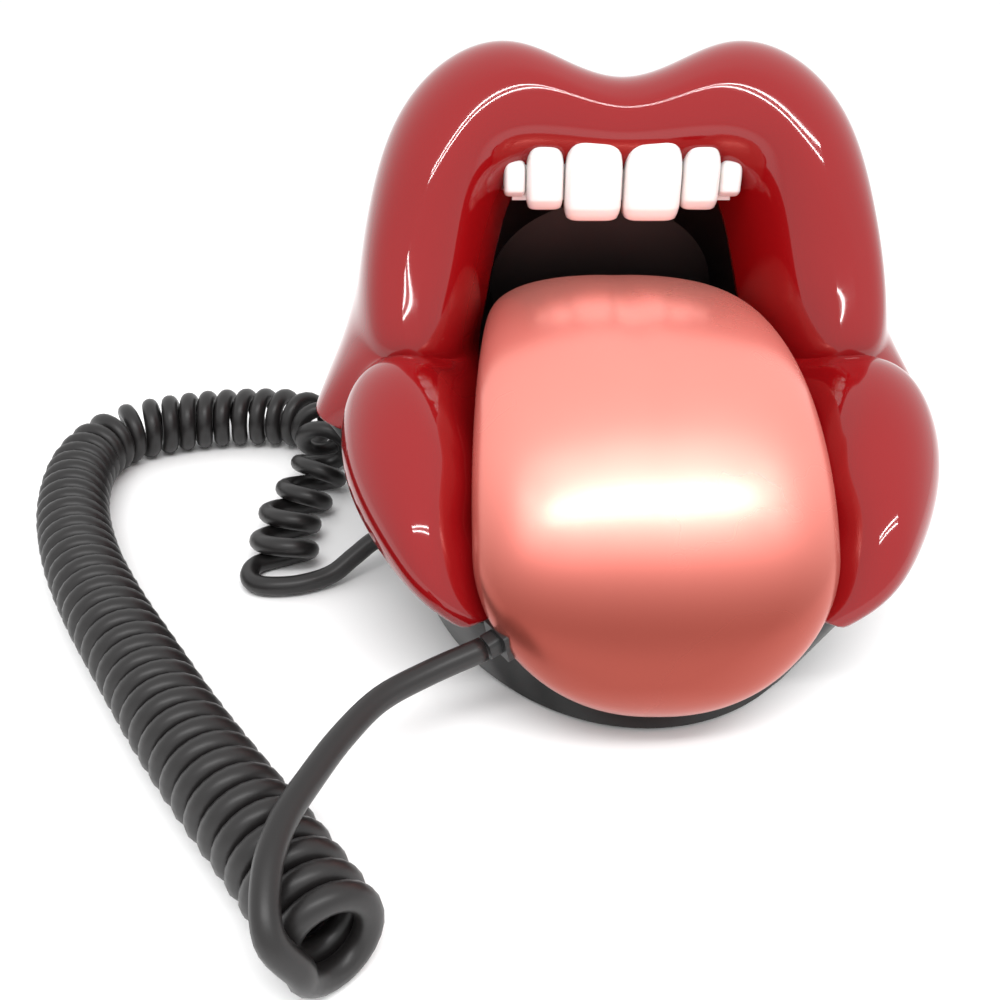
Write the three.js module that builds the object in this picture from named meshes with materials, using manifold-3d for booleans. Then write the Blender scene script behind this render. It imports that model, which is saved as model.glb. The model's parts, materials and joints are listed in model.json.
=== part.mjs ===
// A novelty desk telephone: glossy lips on a black base, with a tongue-shaped handset in the mouth.
// Millimetres. +X is the viewer's right, -Y is the front, +Z is up. The origin is on the desk,
// under the middle of the telephone's own box, which leaves out the free cord.
import * as THREE from "three";
import { mergeVertices } from "three/addons/utils/BufferGeometryUtils.js";
import Module from "manifold-3d";

const wasm = await Module();
wasm.setup();

// Driving sizes
const gap = 0.3; // between pieces that touch
const lipWall = 2.2;
const linerWall = 1.6;
const baseWall = 2.4;
const baseBottom = 1; // height of the base's underside above the desk
const floorTop = baseBottom + baseWall;
const floorHalfX = 51;
const floorHalfY = 75;
const handsetWall = 2.2;
const partingDrop = 3; // the handset's shells meet this far below the middle of its thickness
const cordDiameter = 4.8;
const coilDiameter = 18;

// Half sections of the lips, from the middle of the upper lip round to under the tongue. Each runs
// from the mouth's floor over the front to the edge that meets the base. They pull a B-spline sheet.
const lipSections = [
  [
    [0, 46, 83], [0, 35, 87], [0, 26, 92], [0, 19.5, 98], [0, 21, 105],
    [0, 30, 110], [0, 52, 104], [0, 84, 74], [0, 82, 31],
  ],
  [
    [11, 46, 84], [11.5, 35, 88], [12, 26, 93], [12, 20, 100], [12, 22.5, 108.5],
    [12.5, 33, 113.5], [14, 55, 107], [15, 84, 76], [15, 81, 31],
  ],
  [
    [22, 45, 86], [23, 34, 90], [24, 25, 95], [25, 20.5, 103], [25.5, 26, 114],
    [27, 39, 121], [29, 60, 113], [31, 82, 77], [30, 78, 31],
  ],
  [
    [28, 42, 84], [30, 30, 88], [33, 20, 93], [37, 17, 101], [40, 22, 110],
    [42, 35, 117], [44, 56, 110], [46, 77, 74], [43, 72, 31],
  ],
  [
    [31, 38, 78], [34, 23, 82], [39, 12, 86], [45, 10, 92], [51, 16, 99],
    [55, 28, 104], [57, 48, 97], [60, 64, 64], [56, 60, 32],
  ],
  [
    [34, 34, 66], [37, 15, 70], [42, 5, 73], [50, 3, 77], [58, 9, 81],
    [61, 21, 83], [63, 40, 78], [67, 53, 54], [66, 44, 34],
  ],
  [
    [36, 30, 56], [39, 10, 60], [43, 0, 63], [50, -5, 66], [59, -1, 68],
    [63, 12, 69], [65, 30, 65], [69, 42, 50], [71, 33, 35],
  ],
  [
    [38, 26, 47], [40, 7, 52], [43, -6, 55], [50, -11, 58], [58, -8, 58],
    [63, 3, 57], [67, 18, 54], [72, 26, 44], [74, 18, 37],
  ],
  [
    [37, 14, 45], [39, 4, 49], [44, -5, 53], [49.5, -9, 55], [55, -8, 55],
    [61, -5, 54], [67, -5, 50], [73, -8, 43], [76, -7, 38],
  ],
  [
    [36, 4, 45], [38, -1, 48], [43, -8, 52], [48.5, -11, 54.5], [53, -11, 54],
    [57, -9, 52], [60, -7, 48], [62.5, -6, 42], [65, -6, 36],
  ],
  [
    [33, -6, 45], [36, -12, 47], [40, -18, 52], [45, -22, 58], [52, -24, 61.5],
    [60, -23.5, 59], [64.5, -22, 51], [64, -20, 41], [60, -18, 33],
  ],
  [
    [26, -18, 41], [32, -25, 41.5], [37, -33, 45], [42, -40, 52], [48, -44, 55],
    [56, -45, 53], [62, -44, 46], [62, -42, 37.5], [56, -42, 30.5],
  ],
  [
    [18, -24, 39], [22, -32, 38], [27, -40, 37], [32, -46, 38.5], [38, -53, 43.5],
    [44, -60, 46], [49, -65, 41], [50, -65, 33], [45, -62.5, 27.5],
  ],
  [
    [11, -26, 39], [14, -35, 37], [20, -42, 33.5], [28, -47, 31], [35, -53, 32.5],
    [39.5, -61, 36], [42, -68, 35.5], [40.5, -73.5, 29], [34.5, -73, 24],
  ],
  [
    [5, -28, 39], [6, -32, 38], [10, -38, 35], [13, -42, 32], [17, -45, 29.5],
    [20, -48, 27], [23, -52, 24.5], [25, -56, 22], [26, -59, 20.5],
  ],
  [
    [0, -28, 39], [0, -32, 38], [0, -37, 35.5], [0, -41, 33], [0, -45, 30.5],
    [0, -48, 28], [0, -51, 25], [0, -53, 22], [0, -54, 19],
  ],
];

// The handset's middle line in side view, from the ear end to the tip, with its half widths and
// half thicknesses at the same points.
const handsetLine = [[54, 41], [24, 53.7], [-8, 59.2], [-36, 56.7], [-60, 44.6], [-74, 27], [-78.5, 9]];
const handsetHalfWidths = [30, 33, 34.2, 35.4, 35.8, 34.8, 34];
const handsetHalfThicknesses = [11.5, 12.5, 12.8, 12.8, 12, 10, 8];

// Colours and surfaces
function look(color, roughness, metalness = 0) {
  return new THREE.MeshStandardMaterial({ color, roughness, metalness });
}

const glossyRed = look(0xa01c22, 0.12);
const pearlPink = look(0xdf7a70, 0.3);
const black = look(0x1b1b1b, 0.5);
const white = look(0xf7f3ee, 0.15);
const steel = look(0xa8a8a8, 0.35, 1);
const green = look(0x1f5a3a, 0.5);
const darkRubber = look(0x202020, 0.8);
const clearPlastic = look(0xc9ccd0, 0.15);
const cordBlack = look(0x1c1b1c, 0.4);

const group = new THREE.Group();

function addPiece(name, geometry, material) {
  const mesh = new THREE.Mesh(geometry, material);
  mesh.name = name;
  group.add(mesh);
  return mesh;
}

// ---- solids ----

function asSolid(geometry) {
  const bare = geometry.clone();
  bare.deleteAttribute("normal");
  bare.deleteAttribute("uv");
  const merged = mergeVertices(bare, 1e-4);
  return new wasm.Manifold(
    new wasm.Mesh({
      numProp: 3,
      vertProperties: new Float32Array(merged.attributes.position.array),
      triVerts: new Uint32Array(merged.index.array),
    }),
  );
}

function asGeometry(solid) {
  const mesh = solid.getMesh();
  const geometry = new THREE.BufferGeometry();
  geometry.setAttribute("position", new THREE.BufferAttribute(mesh.vertProperties, 3));
  geometry.setIndex(new THREE.BufferAttribute(mesh.triVerts, 1));
  geometry.computeVertexNormals();
  return geometry;
}

function largestPiece(solid) {
  return solid.decompose().reduce((best, piece) => (piece.volume() > best.volume() ? piece : best));
}

function signedVolume(points, triangles) {
  let total = 0;
  for (let i = 0; i < triangles.length; i += 3) {
    const [a, b, c] = [points[triangles[i]], points[triangles[i + 1]], points[triangles[i + 2]]];
    total += a.dot(b.clone().cross(c));
  }
  return total;
}

// Joins rings of equal length into one closed body. The rings close on themselves as a torus does,
// or both end rings are closed by a fan.
function stitchRings(rings, isTorus) {
  const count = rings[0].length;
  const points = rings.flat();
  const triangles = [];
  const lastRing = isTorus ? rings.length : rings.length - 1;
  for (let i = 0; i < lastRing; i++) {
    const here = i * count;
    const next = ((i + 1) % rings.length) * count;
    for (let j = 0; j < count; j++) {
      const k = (j + 1) % count;
      triangles.push(here + j, here + k, next + k, here + j, next + k, next + j);
    }
  }
  if (!isTorus) {
    for (const [ring, flip] of [[0, true], [rings.length - 1, false]]) {
      const middle = new THREE.Vector3();
      rings[ring].forEach((point) => middle.addScaledVector(point, 1 / count));
      points.push(middle);
      for (let j = 0; j < count; j++) {
        const a = ring * count + j;
        const b = ring * count + ((j + 1) % count);
        triangles.push(...(flip ? [b, a, points.length - 1] : [a, b, points.length - 1]));
      }
    }
  }
  if (signedVolume(points, triangles) < 0) triangles.reverse();
  const geometry = new THREE.BufferGeometry();
  const positions = points.flatMap((p) => p.toArray());
  geometry.setAttribute("position", new THREE.Float32BufferAttribute(positions, 3));
  geometry.setIndex(triangles);
  geometry.computeVertexNormals();
  return geometry;
}

function boxSolid(size, centre, turn) {
  const box = new THREE.BoxGeometry(...size);
  if (turn) box.applyQuaternion(turn);
  box.translate(...centre);
  return asSolid(box);
}

const signedPower = (value, power) => Math.sign(value) * Math.abs(value) ** power;

// A round bar along +Z from one height to another
function rod(radius, bottom, top, x = 0, y = 0, sides = 16) {
  const bar = new THREE.CylinderGeometry(radius, radius, top - bottom, sides);
  bar.rotateX(Math.PI / 2);
  bar.translate(x, y, (bottom + top) / 2);
  return bar;
}

// ---- B-splines ----

function splineWeights(t) {
  const u = 1 - t;
  const weights = [u ** 3, 3 * t ** 3 - 6 * t ** 2 + 4, -3 * t ** 3 + 3 * t ** 2 + 3 * t + 1, t ** 3];
  return weights.map((weight) => weight / 6);
}

function blend(points, first, t) {
  const result = new THREE.Vector3();
  splineWeights(t).forEach((weight, i) => {
    result.addScaledVector(points[(first + i + points.length) % points.length], weight);
  });
  return result;
}

// An open B-spline that starts and ends on its end points
function openSpline(points, steps) {
  const first = points[0].clone().multiplyScalar(2).sub(points[1]);
  const last = points.at(-1).clone().multiplyScalar(2).sub(points.at(-2));
  const all = [first, ...points, last];
  const spans = all.length - 3;
  return Array.from({ length: steps + 1 }, (_, k) => {
    const u = Math.min((k * spans) / steps, spans - 1e-9);
    return blend(all, Math.floor(u), u - Math.floor(u));
  });
}

function closedSpline(points, steps) {
  return Array.from({ length: steps }, (_, k) => {
    const u = (k * points.length) / steps;
    return blend(points, Math.floor(u) - 1, u - Math.floor(u));
  });
}

// ---- lips ----

const lipStations = 60;
const lipSteps = 15;

// The lips' outer skin: one row for each station round the mouth, from the mouth's floor to the base's edge
function lipSkin() {
  const right = lipSections.map((section) => section.map((p) => new THREE.Vector3(...p)));
  const mirrored = (p) => new THREE.Vector3(-p.x, p.y, p.z);
  const left = right.slice(1, -1).reverse().map((section) => section.map(mirrored));
  const columns = [...right, ...left].map((section) => openSpline(section, lipSteps));
  const rows = Array.from({ length: lipStations }, () => []);
  for (let j = 0; j <= lipSteps; j++) {
    const around = closedSpline(columns.map((column) => column[j]), lipStations);
    around.forEach((point, i) => rows[i].push(point));
  }
  return rows;
}

// Moves each point of a skin along its normal; positive is out of the telephone
function offsetSkin(rows, distance) {
  const count = rows.length;
  return rows.map((row, i) => row.map((point, j) => {
    const around = rows[(i + 1) % count][j].clone().sub(rows[(i - 1 + count) % count][j]);
    const along = row[Math.min(j + 1, row.length - 1)].clone().sub(row[Math.max(j - 1, 0)]);
    return point.clone().addScaledVector(along.cross(around).normalize(), distance);
  }));
}

const skin = lipSkin();
const mouthRim = skin.map((row) => row[0]);
const baseRim = skin.map((row) => row.at(-1));

// The lips' shell, from outside the skin to inside it
function lipGeometry(outside, inside) {
  const outer = offsetSkin(skin, outside);
  const inner = offsetSkin(skin, -inside);
  return stitchRings(outer.map((row, i) => [...row, ...inner[i].toReversed()]), true);
}

// The space that the lips' shell takes, with a gap all round
const lipRoom = asSolid(lipGeometry(gap, lipWall + gap));

// ---- base tray ----

// A ring on the tray's wall: 0 is its underside, 1 the edge under the lips; inset is measured inwards
function trayRing(height, inset) {
  return baseRim.map((rim) => {
    const angle = Math.atan2(rim.y / floorHalfY, rim.x / floorHalfX);
    const foot = new THREE.Vector3(
      (floorHalfX - inset) * Math.cos(angle),
      (floorHalfY - inset) * Math.sin(angle),
      inset > 0 ? floorTop : baseBottom,
    );
    const inwards = new THREE.Vector3(-rim.x, -rim.y, 0).normalize();
    const edge = rim.clone().addScaledVector(inwards, inset);
    edge.z -= gap;
    return foot.lerp(edge, height);
  });
}

const screwPlaces = [[-30, 38], [30, 38], [-30, -34], [30, -34]];
const screwHeadRadius = 3.2;
const screwHeadHeight = 1.1;
const screwShankRadius = 1.5;
const screwReach = 7; // how far the screws stand up from the base's floor

// A jack's place: the mouth's middle, the way out of it, and the width and height of hole and body
const handsetJack = { mouth: [-54.5, -15, 10], out: [-1, 0, 0], hole: [7.8, 6.6], body: [12, 11] };
const lineJack = { mouth: [14, 75, 12], out: [0, 1, 0], hole: [9.8, 6.8], body: [14, 11] };
const jackDepth = 15;
const jackBack = 3;
const ringerSwitchPlace = [-16, 76, 14];
const ringerSlot = [10, 20, 4];

// A box with its depth along a jack's way out; from and to are measured from the mouth, inwards
function jackBox(jack, [width, height], from, to) {
  const out = new THREE.Vector3(...jack.out);
  const turn = new THREE.Quaternion().setFromUnitVectors(new THREE.Vector3(0, 1, 0), out);
  const middle = new THREE.Vector3(...jack.mouth).addScaledVector(out, -(from + to) / 2);
  return boxSolid([width, to - from, height], middle.toArray(), turn);
}

function makeBaseTray() {
  const walls = [trayRing(0, 0), trayRing(1, 0), trayRing(1, baseWall), trayRing(0, baseWall)];
  let tray = asSolid(stitchRings(walls, false));
  for (const [x, y] of screwPlaces) {
    tray = tray.subtract(asSolid(rod(screwHeadRadius + gap, 0, baseBottom + screwHeadHeight + gap, x, y)));
    tray = tray.subtract(asSolid(rod(screwShankRadius + gap, 0, floorTop + 1, x, y)));
  }
  const pastWall = 12;
  for (const jack of [handsetJack, lineJack]) {
    const opening = jack.body.map((side) => side + 2 * gap);
    tray = tray.subtract(jackBox(jack, opening, -pastWall, jackDepth + gap));
  }
  tray = tray.subtract(boxSolid(ringerSlot, ringerSwitchPlace));
  addPiece("base_tray", asGeometry(largestPiece(tray)), black);
}

function makeJack(name, jack) {
  const body = jackBox(jack, jack.body, 0, jackDepth);
  const hole = jackBox(jack, jack.hole, -1, jackDepth - jackBack);
  addPiece(name, asGeometry(body.subtract(hole)), clearPlastic);
}

// Two rubber feet in front and two behind
function makeFeet() {
  [[-26, 50], [26, 50], [-26, -52], [26, -52]].forEach(([x, y], i) => {
    addPiece(`rubber_foot_${i + 1}`, rod(5, 0, baseBottom - gap, x, y), darkRubber);
  });
}

function makeBaseScrews() {
  screwPlaces.forEach(([x, y], i) => {
    const head = asSolid(rod(screwHeadRadius, baseBottom, baseBottom + screwHeadHeight, x, y));
    const shank = asSolid(rod(screwShankRadius, baseBottom + 1, floorTop + screwReach, x, y));
    addPiece(`base_screw_${i + 1}`, asGeometry(head.add(shank)), steel);
  });
}

// ---- inside the base ----

const boardBottom = 12;
const boardTop = boardBottom + 1.6;
const hookSwitchHeight = 6;

function makeInsides() {
  let board = boxSolid([66, 62, boardTop - boardBottom], [0, 20, (boardTop + boardBottom) / 2]);
  for (const [x, y] of screwPlaces) {
    board = board.subtract(asSolid(rod(screwShankRadius + 1, 10, 16, x, y)));
  }
  addPiece("main_board", asGeometry(board), green);
  addPiece("ringer", rod(11, floorTop + gap, boardBottom - gap, 0, 24), black);
  const ballast = boxSolid([44, 34, 6], [0, -36, floorTop + gap + 3]);
  addPiece("ballast_weight", asGeometry(ballast), steel);
  const switchMiddle = boardTop + gap + hookSwitchHeight / 2;
  const hookSwitch = boxSolid([14, 8, hookSwitchHeight], [0, plungerY, switchMiddle]);
  addPiece("hook_switch", asGeometry(hookSwitch), black);
}

// ---- hook ----

const plungerY = 4;
const plungerRadius = 4.5;
const springFoot = boardTop + gap + hookSwitchHeight + gap;
const plungerFoot = 25.3; // its collar stays under the mouth's floor when it has risen by 4
const plungerTop = 42.6;

function makeHook() {
  const collar = asSolid(rod(plungerRadius + 2, plungerFoot, plungerFoot + 1.6, 0, plungerY));
  const stem = asSolid(rod(plungerRadius, plungerFoot + 1, plungerTop, 0, plungerY));
  addPiece("hook_plunger", asGeometry(stem.add(collar)), black);
  const outer = asSolid(rod(4, springFoot, plungerFoot - gap, 0, plungerY));
  const bore = asSolid(rod(3, springFoot - 1, plungerFoot, 0, plungerY));
  addPiece("hook_spring", asGeometry(outer.subtract(bore)), steel);
}

// ---- mouth ----

// The black cup behind the lips: from the lips' inner edge back to a wall behind the handset's ear end
function makeMouthLiner() {
  const opening = { z: 58, halfWidth: 36, halfHeight: 26 };
  const back = { y: 63, z: 50, halfWidth: 33, halfHeight: 25 };
  const backRing = mouthRim.map((rim) => {
    const angle = Math.atan2((rim.z - opening.z) / opening.halfHeight, rim.x / opening.halfWidth);
    const height = back.z + back.halfHeight * Math.sin(angle);
    return new THREE.Vector3(back.halfWidth * Math.cos(angle), back.y, height);
  });
  const start = mouthRim.map((rim, i) => rim.clone().lerp(backRing[i], gap / rim.distanceTo(backRing[i])));
  const ring = (t, grow) => start.map((point, i) => {
    const result = point.clone().lerp(backRing[i], t);
    const outwards = new THREE.Vector3(result.x, 0, result.z - 55).normalize();
    return result.addScaledVector(outwards, grow);
  });
  const wallBack = ring(1, linerWall).map((point) => point.setY(back.y + linerWall));
  const inside = [ring(1, 0), ring(0.5, 0), ring(0, 0)];
  const outside = [ring(0, linerWall), ring(0.5, linerWall), wallBack];
  const cup = asSolid(stitchRings([...inside, ...outside], false));
  const hole = asSolid(rod(plungerRadius + gap, 10, 60, 0, plungerY));
  addPiece("mouth_liner", asGeometry(largestPiece(cup.subtract(hole).subtract(lipRoom))), black);
}

// ---- teeth ----

// Each tooth: its middle, half width, front, the height of its front's lower edge, and its gum line
const teeth = [
  { x: 7.2, halfWidth: 7, front: 17.2, edge: 83.4, gum: 99.5 },
  { x: 19, halfWidth: 4.6, front: 18.4, edge: 85.2, gum: 98 },
  { x: 26.4, halfWidth: 2.8, front: 20, edge: 87, gum: 94.5 },
];
const toothDepth = 12;

// A tooth's outline from the biting edge up: how far up from the front's lower edge in shares of the
// height to the gum, its share of the width, and how far the front stands back
const toothOutline = [
  [-0.2, 0.78, 2.2], [-0.17, 0.92, 1.4], [-0.02, 0.99, 0.2], [0.04, 1, 0], [0.55, 1, 0],
  [0.76, 0.94, 0.5], [0.91, 0.76, 1.6], [1, 0.44, 3.4],
];

function toothSolid(tooth, side) {
  const rings = toothOutline.map(([up, width, setBack]) => {
    const halfDepth = (toothDepth - setBack) / 2;
    const middle = new THREE.Vector3(side * tooth.x, tooth.front + setBack + halfDepth, 0);
    middle.z = tooth.edge + up * (tooth.gum - tooth.edge);
    return Array.from({ length: 16 }, (_, k) => {
      const angle = (Math.PI * (k + 0.5)) / 8;
      const x = width * tooth.halfWidth * signedPower(Math.cos(angle), 0.5);
      return middle.clone().add(new THREE.Vector3(x, halfDepth * signedPower(Math.sin(angle), 0.5), 0));
    });
  });
  return asSolid(stitchRings(rings, false));
}

function makeTeeth() {
  let strip = boxSolid([52, 4, 5], [0, 26, 88.5]);
  for (const tooth of teeth) {
    for (const side of [-1, 1]) strip = strip.add(toothSolid(tooth, side));
  }
  addPiece("teeth_strip", asGeometry(largestPiece(strip.subtract(lipRoom))), white);
}

// ---- handset ----

const handsetSteps = 28;
const ringPoints = 24;
const earRound = 26; // how far the ear end takes to reach its full width
const earDrop = 12; // and its full thickness
const tipRound = 31;
const tipDrop = 9;

const asPoint = ([y, z]) => new THREE.Vector3(0, y, z);
const alongX = (v) => new THREE.Vector3(v, 0, 0);

// The middle line with its frame: distance from the ear end, place, way forward, way up, half sizes
function handsetStations() {
  const fine = 200;
  const line = openSpline(handsetLine.map(asPoint), fine);
  const widths = openSpline(handsetHalfWidths.map(alongX), fine);
  const heights = openSpline(handsetHalfThicknesses.map(alongX), fine);
  const travelled = [0];
  for (let i = 1; i <= fine; i++) travelled.push(travelled[i - 1] + line[i].distanceTo(line[i - 1]));
  const total = travelled[fine];
  return (distance) => {
    let i = 0;
    while (i < fine - 1 && travelled[i + 1] < distance) i++;
    const t = (distance - travelled[i]) / (travelled[i + 1] - travelled[i]);
    const ahead = line[Math.min(i + 2, fine)].clone().sub(line[Math.max(i - 1, 0)]).normalize();
    return {
      total,
      place: line[i].clone().lerp(line[i + 1], t),
      ahead,
      up: new THREE.Vector3(0, ahead.z, -ahead.y),
      halfWidth: THREE.MathUtils.lerp(widths[i].x, widths[i + 1].x, t),
      halfThickness: THREE.MathUtils.lerp(heights[i].x, heights[i + 1].x, t),
    };
  };
}

const stationAt = handsetStations();
const handsetLength = stationAt(0).total;
const roundEnd = (distance, radius) => Math.sqrt(Math.max(0, 1 - Math.max(0, 1 - distance / radius) ** 2));

// The handset's outer form, made smaller all round by inset
function handsetSolid(inset) {
  const rings = [];
  for (let k = 1; k < handsetSteps; k++) {
    const share = (1 - Math.cos((Math.PI * k) / handsetSteps)) / 2;
    const distance = inset + share * (handsetLength - 2 * inset);
    const at = stationAt(distance);
    const fromEar = distance - inset;
    const toTip = handsetLength - distance - inset;
    const widthShare = Math.min(roundEnd(fromEar, earRound - inset), roundEnd(toTip, tipRound - inset));
    const heightShare = Math.min(roundEnd(fromEar, earDrop - inset), roundEnd(toTip, tipDrop - inset));
    const width = (at.halfWidth - inset) * widthShare;
    const height = (at.halfThickness - inset) * heightShare;
    rings.push(Array.from({ length: ringPoints }, (_, j) => {
      const angle = (2 * Math.PI * j) / ringPoints;
      return at.place.clone()
        .addScaledVector(new THREE.Vector3(1, 0, 0), width * signedPower(Math.cos(angle), 0.8))
        .addScaledVector(at.up, height * signedPower(Math.sin(angle), 0.8));
    }));
  }
  return asSolid(stitchRings(rings, false));
}

// All the space between two levels above the handset's middle line
function handsetSlab(bottom, top) {
  const rings = [];
  const count = 24;
  for (let k = -2; k <= count + 2; k++) {
    const at = stationAt(THREE.MathUtils.clamp((k / count) * handsetLength, 0, handsetLength));
    const past = Math.min(k, 0) + Math.max(k - count, 0);
    const place = at.place.clone().addScaledVector(at.ahead, past * 6);
    rings.push([[-50, bottom], [50, bottom], [50, top], [-50, top]].map(([x, level]) => (
      place.clone().addScaledVector(at.up, level).setX(x)
    )));
  }
  return asSolid(stitchRings(rings, false));
}

// Puts a solid made about the origin, with +Y forward and +Z up, at a place on the handset's middle line
function onHandset(geometry, distance, across, level) {
  const at = stationAt(distance);
  const turn = new THREE.Matrix4().makeBasis(new THREE.Vector3(1, 0, 0), at.ahead, at.up.clone().negate());
  const place = at.place.clone().addScaledVector(at.up, level);
  return geometry.clone().applyMatrix4(turn).translate(across, place.y, place.z);
}

// Keys: three by four for the numbers and two below them for redial and flash
const keyPitchAcross = 13;
const keyPitchAlong = 11;
const keySize = [9.4, 6.4];
const keyHead = { lowest: -13.6, height: 5 };
const keyFlange = { lowest: -9, height: 1 };
const firstRow = 64;
const keyNames = [
  ["1", "2", "3"],
  ["4", "5", "6"],
  ["7", "8", "9"],
  ["star", "0", "hash"],
  ["redial", "", "flash"],
];

function forEachKey(visit) {
  keyNames.forEach((row, i) => row.forEach((name, j) => {
    if (name) visit(name, firstRow + i * keyPitchAlong, (1 - j) * keyPitchAcross);
  }));
}

const plugSize = [7.6, 11, 6.2];
const handsetPlug = { mouth: [-32.8, -76.4, 23.4], out: [-0.83, -0.52, -0.2], body: plugSize };
const basePlug = { mouth: [-56.3, -15, 10], out: [-1, 0, 0], body: plugSize };

function plugSolid(plug, grow) {
  const out = new THREE.Vector3(...plug.out).normalize();
  const [width, depth, height] = plug.body;
  const box = new THREE.BoxGeometry(width + 2 * grow, depth + 2 * grow, height + 2 * grow);
  const side = new THREE.Vector3(0, 0, 1).cross(out).normalize();
  box.applyMatrix4(new THREE.Matrix4().makeBasis(side.clone().negate(), out, out.clone().cross(side)));
  box.translate(...new THREE.Vector3(...plug.mouth).addScaledVector(out, -depth / 2).toArray());
  return asSolid(box);
}

const handsetScrewDistances = [46, 122];
const handsetScrewHead = 2.3;
const soundHoles = { ear: 24, mouth: 142 };

// A box about the handset's middle line: its size, how far along, how far across, and its lowest level
function handsetBox(size, distance, across, lowest, grow = 0) {
  const box = new THREE.BoxGeometry(size[0] + 2 * grow, size[1] + 2 * grow, size[2] + 2 * grow);
  return asSolid(onHandset(box, distance, across, lowest + size[2] / 2));
}

function handsetRod(radius, length, distance, across, lowest) {
  return asSolid(onHandset(rod(radius, -length / 2, length / 2), distance, across, lowest + length / 2));
}

function makeHandsetShells() {
  const shell = handsetSolid(0).subtract(handsetSolid(handsetWall)).subtract(plugSolid(handsetPlug, gap));
  const top = shell.intersect(handsetSlab(-partingDrop + gap / 2, 30));
  addPiece("handset_top_shell", asGeometry(largestPiece(top)), pearlPink);
  let bottom = shell.intersect(handsetSlab(-30, -partingDrop - gap / 2));
  forEachKey((name, along, across) => {
    bottom = bottom.subtract(handsetBox([...keySize, 8], along, across, -15, gap));
  });
  for (const distance of handsetScrewDistances) {
    bottom = bottom.subtract(handsetRod(handsetScrewHead + 2 * gap, 16, distance, 0, -19));
  }
  for (const middle of Object.values(soundHoles)) {
    for (const across of [-4, 0, 4]) bottom = bottom.subtract(handsetRod(0.9, 16, middle, across, -20));
  }
  addPiece("handset_bottom_shell", asGeometry(largestPiece(bottom)), pearlPink);
}

function makeKeys() {
  forEachKey((name, along, across) => {
    const head = handsetBox([...keySize, keyHead.height], along, across, keyHead.lowest);
    const flangeSize = [keySize[0] + 1.4, keySize[1] + 2, keyFlange.height];
    const flange = handsetBox(flangeSize, along, across, keyFlange.lowest);
    addPiece(`key_${name}`, asGeometry(head.add(flange)), white);
  });
}

function makeHandsetInsides() {
  addPiece("keypad_mat", asGeometry(handsetBox([42, 50, 1], 86, 0, -6.6)), darkRubber);
  addPiece("handset_board", asGeometry(handsetBox([44, 54, 1.4], 86, 0, -5.2)), green);
  addPiece("earpiece_speaker", asGeometry(handsetRod(12, 5, 25, 0, -6.5)), black);
  addPiece("microphone", asGeometry(handsetRod(4, 3, 141, 0, -2)), black);
  handsetScrewDistances.forEach((distance, i) => {
    const head = handsetRod(handsetScrewHead, 1.5, distance, 0, -11.5);
    addPiece(`handset_screw_${i + 1}`, asGeometry(head.add(handsetRod(1.2, 9, distance, 0, -10.5))), steel);
  });
  addPiece("handset_plug", asGeometry(plugSolid(handsetPlug, 0)), black);
}

// ---- cord ----

// The handset's cord in order: the lead from the handset, the coil on the desk, the lead to the base
const handsetLead = [
  [-33.2, -76.7, 23.3], [-43, -82, 22.1], [-51.5, -89, 21.8], [-57, -98.5, 21.9], [-61, -108.5, 21.9],
  [-63.7, -117, 21.8], [-64.6, -125.5, 20.4], [-63.2, -133.2, 16.2], [-60.4, -135.2, 11],
];
const coilRoute = [
  [-57, -126], [-68, -112], [-79, -99], [-91, -84], [-105, -65], [-120, -44], [-133, -23], [-144, 1],
  [-149.5, 25], [-146, 43], [-133, 52.5], [-114, 57.5], [-96, 57], [-86, 50], [-82.5, 35], [-84.5, 17],
  [-86.5, 3], [-86, -9], [-84.5, -19],
];
const baseLead = [
  [-90.9, -22, 7.4], [-90.2, -25.2, 4.9], [-86, -26.6, 2.9], [-79, -25.6, 2.7], [-70, -21.5, 3.2],
  [-62.5, -17, 6.4], [-59.8, -15.1, 9.4], [-56.7, -15, 10],
];

function tube(points, diameter, sides, steps) {
  const section = new THREE.Shape();
  for (let i = 0; i < sides; i++) {
    const angle = (2 * Math.PI * i) / sides;
    const radius = (diameter / 2) * (1 - 1e-3);
    section[i ? "lineTo" : "moveTo"](radius * Math.cos(angle), radius * Math.sin(angle));
  }
  section.closePath();
  const extrudePath = new THREE.CatmullRomCurve3(points, false, "centripetal");
  return new THREE.ExtrudeGeometry(section, { steps, extrudePath, bevelEnabled: false });
}

function makeCord() {
  const coilHeight = coilDiameter / 2 + 0.05;
  const coil = coilRoute.map(([x, y]) => new THREE.Vector3(x, y, coilHeight));
  addPiece("cord_coil", tube(coil, coilDiameter, 10, 48), cordBlack);
  for (const [name, lead] of [["cord_lead_handset", handsetLead], ["cord_lead_base", baseLead]]) {
    addPiece(name, tube(lead.map((p) => new THREE.Vector3(...p)), cordDiameter, 8, 16), cordBlack);
  }
  addPiece("base_plug", asGeometry(plugSolid(basePlug, 0)), clearPlastic);
}

function makeRingerSwitch() {
  const [x, y, z] = ringerSwitchPlace;
  addPiece("ringer_switch", asGeometry(boxSolid([14, 6, 8], [x, y - 12, z])), black);
  addPiece("ringer_switch_knob", asGeometry(boxSolid([4, 11, 3], [x - 1.5, y - 2, z])), white);
}

addPiece("lip_shell", lipGeometry(0, lipWall), glossyRed);
makeBaseTray();
makeFeet();
makeBaseScrews();
makeJack("handset_jack", handsetJack);
makeJack("line_jack", lineJack);
makeRingerSwitch();
makeInsides();
makeHook();
makeMouthLiner();
makeTeeth();
makeHandsetShells();
makeKeys();
makeHandsetInsides();
makeCord();

export default group;
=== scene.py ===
"""The looks of a novelty desk telephone: glossy lips on a black base, a tongue-shaped handset and a
curly cord. Shapes are worked out in millimetres, as in the CAD source, and made in metres."""

import json
import math

import bmesh
import bpy
import numpy as np
from mathutils import Matrix, Vector


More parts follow.
